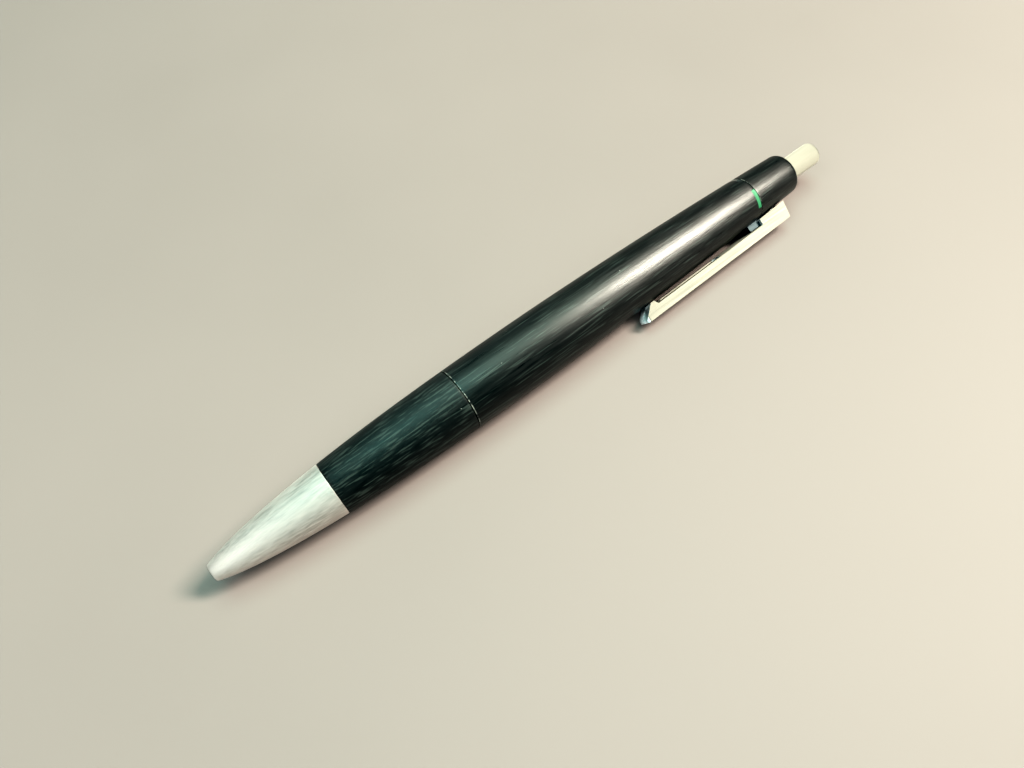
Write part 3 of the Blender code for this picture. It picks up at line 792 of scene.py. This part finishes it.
def coil(name, length, mean, wire, turns, across=False):
    """A round wire spring with closed end coils, along its own X axis.

    It stands along Z instead where it works across the pen.
    """
    steps, sides, closed = 28, 10, 1.25
    closed_pitch = wire * 1.02
    count = int(turns * steps)
    active = length - wire - 2 * closed * closed_pitch
    data = bmesh.new()
    rings = []
    for i in range(count + 1):
        turn = i / steps
        along = wire / 2 + min(turn, closed) * closed_pitch
        along += max(0.0, min(turn, turns - closed) - closed) * active / (turns - 2 * closed)
        along += max(0.0, turn - (turns - closed)) * closed_pitch
        angle = math.tau * turn
        ring = []
        for k in range(sides):
            lean = math.tau * k / sides
            radius = mean + wire / 2 * math.cos(lean)
            far = along + wire / 2 * math.sin(lean)
            y, z = radius * math.cos(angle), radius * math.sin(angle)
            ring.append(data.verts.new(Vector((y, z, far) if across else (far, y, z)) * MM))
        rings.append(ring)
    for a, b in zip(rings, rings[1:]):
        for k in range(sides):
            data.faces.new((a[k], a[(k + 1) % sides], b[(k + 1) % sides], b[k]))
    data.faces.new(rings[0])
    data.faces.new(rings[-1][::-1])
    return object_from(name, data, WIRE, 60)


def button_spring():
    low, high = starts("button_spring"), ends("button_spring")
    spring = coil("return_spring", high - low, mean=1.5, wire=0.35, turns=11)
    spring.location = pen_point(low)
    stand_for(spring, "button_spring")
    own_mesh(spring)


def carrier_spring(colour):
    """A carrier's return spring, with a mesh of its own where that carrier has a joint."""
    node, joint = f"{colour}_carrier_spring", f"{colour}_carrier_slide"
    low, high = starts(node), ends(node)
    spring = coil(f"{colour}_return_coil", high - low, mean=1.05, wire=0.28, turns=9)
    spring.location = pen_point(low, CHANNEL_REACH, roll_of(colour))
    stand_for(spring, node)
    if joint in JOINTS:
        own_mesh(spring)


def clip_spring():
    """It stands across the pen, in pockets of the cap and the clip."""
    inner, outer = 3.6, 6.25
    spring = coil("clip_coil", outer - inner, mean=0.8, wire=0.22, turns=5, across=True)
    spring.location = pen_point(SPRING_STATION, inner, CLIP_ROLL)
    spring.rotation_euler.x = math.radians(CLIP_ROLL)
    stand_for(spring, "clip_spring")
    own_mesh(spring)


# ---------------------------------------------------------------- mechanism

CHANNEL_REACH = 2.3
REFILL_RADIUS = 1.15
AXLE_BORE = 0.78


def refill_place(colour):
    return {"reach": CHANNEL_REACH, "roll": roll_of(colour)}


def refill_tip(colour):
    """The writing point, with the shank that its tube is pressed onto."""
    tip, radius, ball, needle, shank_radius = starts(f"{colour}_refill_tip"), 1.1, 0.14, 0.5, 0.85
    shank = tip + 7.5
    outline = rounded([(tip, 0.0), (tip, ball), (tip + 0.5, 0.3, 0.05), (tip + 0.7, needle, 0.08),
                       (tip + 3.0, needle, 0.2), (tip + 5.0, radius, 0.3), (tip + 6.2, radius, 0.05),
                       (tip + 6.35, radius - 0.08, 0.05), (tip + 6.5, radius, 0.05),
                       (shank, radius, 0.05), (shank, shank_radius), (shank + 3.0, shank_radius),
                       (shank + 3.0, 0.0)])
    point = lathe(f"{colour}_point", outline, BRASS, 48, **refill_place(colour))
    stand_for(point, f"{colour}_refill_tip")


def refill_tube(colour):
    """The tube, with a crimp near each end."""
    low, high = starts(f"{colour}_refill_tube"), ends(f"{colour}_refill_tube")
    radius, bore, plug = REFILL_RADIUS, 0.95, 4.0
    outline = rounded([(low, bore), (low, radius, 0.05), (low + 1.2, radius, 0.1),
                       (low + 1.4, radius - 0.06, 0.1), (low + 1.6, radius, 0.1),
                       (high - 5.2, radius, 0.1), (high - 5.0, radius - 0.08, 0.1),
                       (high - 4.8, radius, 0.1), (high, radius, 0.06), (high, bore),
                       (high - plug, bore), (high - plug, 0.0), (low + 3.2, 0.0), (low + 3.2, bore)])
    tube = lathe(f"{colour}_tube", outline, REFILL_METAL, 48, **refill_place(colour))
    stand_for(tube, f"{colour}_refill_tube")


def carrier(colour):
    """The peg that holds the refill, its collar, the rod in the spring, and the pushed head."""
    low, high = starts(f"{colour}_carrier"), ends(f"{colour}_carrier")
    collar, collar_end, head = low + 2.5, low + 4.7, high - 4.5
    outline = rounded([(low, 0.0), (low, 0.6, 0.12), (collar, 0.6), (collar, 1.15, 0.1),
                       (collar_end, 1.15, 0.1), (collar_end, 0.8, 0.1), (head, 0.8),
                       (head, 1.2, 0.08), (high - 3.0, 1.2), (high - 2.0, 1.3), (high, 1.3, 0.25),
                       (high, 0.0)])
    slider = lathe(f"{colour}_slider", outline, ENAMEL[colour], 48, **refill_place(colour))
    stand_for(slider, f"{colour}_carrier")


def channel_guide():
    """A block with a hole in its floor and an open channel for each carrier."""
    start, end = starts("channel_guide"), ends("channel_guide")
    radius, floor, hole, channel = 3.8, start + 2.0, 0.95, 1.35
    outline = rounded([(start, 0.0), (start, radius, 0.25), (end, radius, 0.25), (end, 0.0)])
    block = lathe("guide_block", outline, PALE, 96)
    bore = [(start - 1, 0.0), (start - 1, hole), (floor, hole), (floor, channel), (end + 1, channel),
            (end + 1, 0.0)]
    window = [(floor, CHANNEL_REACH), (end + 1, CHANNEL_REACH), (end + 1, radius + 1),
              (floor, radius + 1)]
    for colour in COLOURS:
        roll = roll_of(colour)
        cut(block, lathe("channel_tool", bore, PALE, 48, CHANNEL_REACH, roll))
        cut(block, slab("window_tool", window, 2 * channel - 0.3, PALE, (floor, CHANNEL_REACH), roll))
    bevel(block, 0.06, 2, 40)
    stand_for(block, "channel_guide")


def weight_outline():
    """A sector that hangs from a hub, with an arm opposite for the finger."""
    hub, reach, arm, arm_top = 1.6, 3.6, 0.75, 2.0
    half, meet, steps = math.radians(75), math.radians(80), 36
    arc = [math.pi - half + 2 * half * i / steps for i in range(steps + 1)]
    side, low = hub * math.sin(meet), hub * math.cos(meet)
    hub_side = math.sqrt(hub ** 2 - arm ** 2)
    return [(reach * math.sin(a), reach * math.cos(a)) for a in arc] + [
        (-side, low), (-arm, hub_side), (-arm, arm_top), (arm, arm_top), (arm, hub_side), (side, low)]


def selector_weight():
    """The hanging weight, which keeps the finger uppermost."""
    start, end = starts("selector_weight"), ends("selector_weight")
    data = bmesh.new()
    face = data.faces.new([data.verts.new((0.0, y * MM, z * MM)) for y, z in weight_outline()])
    grown = bmesh.ops.extrude_face_region(data, geom=[face])
    moved = [v for v in grown["geom"] if isinstance(v, bmesh.types.BMVert)]
    bmesh.ops.translate(data, verts=moved, vec=((end - start) * MM, 0, 0))
    weight = object_from("hanging_weight", data, BRASS)
    weight.location = pen_point(start)
    weight.rotation_euler.x = math.radians(GREEN_ROLL)
    bevel(weight, 0.12, 2)
    bore = [(start - 1, 0.0), (start - 1, AXLE_BORE), (end + 1, AXLE_BORE), (end + 1, 0.0)]
    cut(weight, lathe("axle_tool", bore, BRASS, 48))
    weight.data.set_sharp_from_angle(angle=math.radians(SHARP))
    stand_for(weight, "selector_weight")


def selector_finger():
    """The blade on the weight's arm that pushes the uppermost carrier."""
    tip, end, inner, root, outer = starts("selector_finger"), ends("selector_weight"), 1.7, 2.1, 3.3
    outline = [(tip, inner), (tip, outer - 0.3), (tip + 0.6, outer), (end, outer), (end, root),
               (tip + 2.5, root), (tip + 1.6, inner)]
    finger = slab("selector_blade", outline, 1.5, WIRE, (tip, 0.0), GREEN_ROLL)
    bevel(finger, 0.08, 2)
    stand_for(finger, "selector_finger")


nose_cone()
front_sleeve()
thread_insert()
rear_barrel()
end_cap()
push_button()
button_bush()
push_rod()
selector_washer()
spring_seat()
clip()
clip_bracket()
clip_pin()
button_spring()
for name in COLOURS:
    carrier_spring(name)
clip_spring()
for name in COLOURS:
    refill_tip(name)
    refill_tube(name)
    carrier(name)
channel_guide()
selector_weight()
selector_finger()


# ---------------------------------------------------------------- floor, light and camera


FLOOR_HALF = 3.0
DOME_RADIUS = 0.8
SURROUND = (0.36, 0.345, 0.31, 1.0)


def studio_floor():
    nodes = Nodes("pale_floor")
    cloud = nodes.noise((9, 9, 9), 3.0, 0.5)
    shade = nodes.ramp(cloud, 0.3, 0.7)
    nodes.colour(nodes.mix(shade, (0.184, 0.153, 0.145), (0.198, 0.165, 0.157)))
    nodes.roughness(nodes.ramp(cloud, 0.3, 0.7, 0.62, 0.70))
    data = bmesh.new()
    bmesh.ops.create_grid(data, x_segments=2, y_segments=2, size=FLOOR_HALF)
    floor = object_from("studio_floor", data, nodes.material)


def studio_dome():
    """A plain light surround that only the camera sees, so it neither lights nor shades the pen."""
    material = bpy.data.materials.new("pale_surround")
    material.use_nodes = True
    shader = material.node_tree.nodes["Principled BSDF"]
    shader.inputs["Base Color"].default_value = (0.0, 0.0, 0.0, 1.0)
    shader.inputs["Specular IOR Level"].default_value = 0.0
    shader.inputs["Emission Color"].default_value = SURROUND
    shader.inputs["Emission Strength"].default_value = 1.0
    data = bmesh.new()
    bmesh.ops.create_uvsphere(data, u_segments=96, v_segments=48, radius=DOME_RADIUS)
    dome = object_from("studio_dome", data, material)
    dome.visible_diffuse = dome.visible_glossy = False
    dome.visible_shadow = dome.visible_transmission = False


def soft_box(name, place, aim, size, power, colour, along=(1, 0, 0)):
    """A rectangular light whose first side runs as near as it can to one direction."""
    light = bpy.data.lights.new(name, "AREA")
    light.shape = "RECTANGLE"
    light.size, light.size_y = size
    light.energy = power
    light.color = colour
    lamp = bpy.data.objects.new(name, light)
    bpy.context.scene.collection.objects.link(lamp)
    back = (Vector(place) - Vector(aim)).normalized()
    side = (Vector(along) - back * back.dot(Vector(along))).normalized()
    lamp.rotation_euler = Matrix((side, back.cross(side), back)).transposed().to_euler()
    lamp.location = place
    lamp.visible_camera = False


def soft_boxes():
    """The key makes the highlight on the barrel, and the others its pale sheen and the steel's."""
    soft_box("key_box", (0.57, -0.25, 0.78), (0.0, 0.0, 0.0), (0.44, 0.17), 20.0,
             (1.0, 0.94, 0.82), (0.74, -0.67, 0))
    soft_box("front_box", (-0.50, -0.14, 0.58), (-0.05, 0.0, 0.0), (0.44, 0.95), 4.4,
             (0.90, 1.0, 0.95))
    soft_box("ceiling_box", (0.00, 0.12, 0.80), (-0.03, 0.0, 0.0), (0.26, 0.60), 2.6,
             (0.50, 1.0, 0.90))
    soft_box("ceiling_rear_box", (0.265, 0.12, 0.80), (-0.03, 0.0, 0.0), (0.27, 0.60), 2.7,
             (0.76, 1.0, 0.84))
    soft_box("back_box", (-0.12, 0.62, 0.22), (-0.03, 0.0, 0.0), (0.80, 0.36), 0.38,
             (0.85, 1.0, 0.92))


def dim_world():
    world = bpy.data.worlds.new("studio")
    world.use_nodes = True
    background = world.node_tree.nodes["Background"]
    background.inputs["Color"].default_value = (0.50, 1.0, 0.95, 1.0)
    background.inputs["Strength"].default_value = 0.13
    bpy.context.scene.world = world


def contrast():
    """The photo's strong contrast, with its deep blacks."""
    display = bpy.context.scene.view_settings
    display.view_transform = "Standard"
    display.look = "High Contrast"
    display.use_curve_mapping = True
    display.curve_mapping.black_level = (0.017, 0.016, 0.014)
    display.curve_mapping.update()


def camera():
    """The view that a perspective fit to the photo gives."""
    data = bpy.data.cameras.new("photo_view")
    data.sensor_width = 36.0
    data.lens = 27.01
    data.clip_start, data.clip_end = 0.005, 50.0
    item = bpy.data.objects.new("photo_view", data)
    item.location = Vector((-45.89, -60.24, 125.37)) * MM
    item.rotation_euler = [math.radians(a) for a in (29.236, 3.873, -37.753)]
    bpy.context.scene.collection.objects.link(item)
    bpy.context.scene.camera = item


studio_floor()
studio_dome()
soft_boxes()
dim_world()
contrast()
camera()
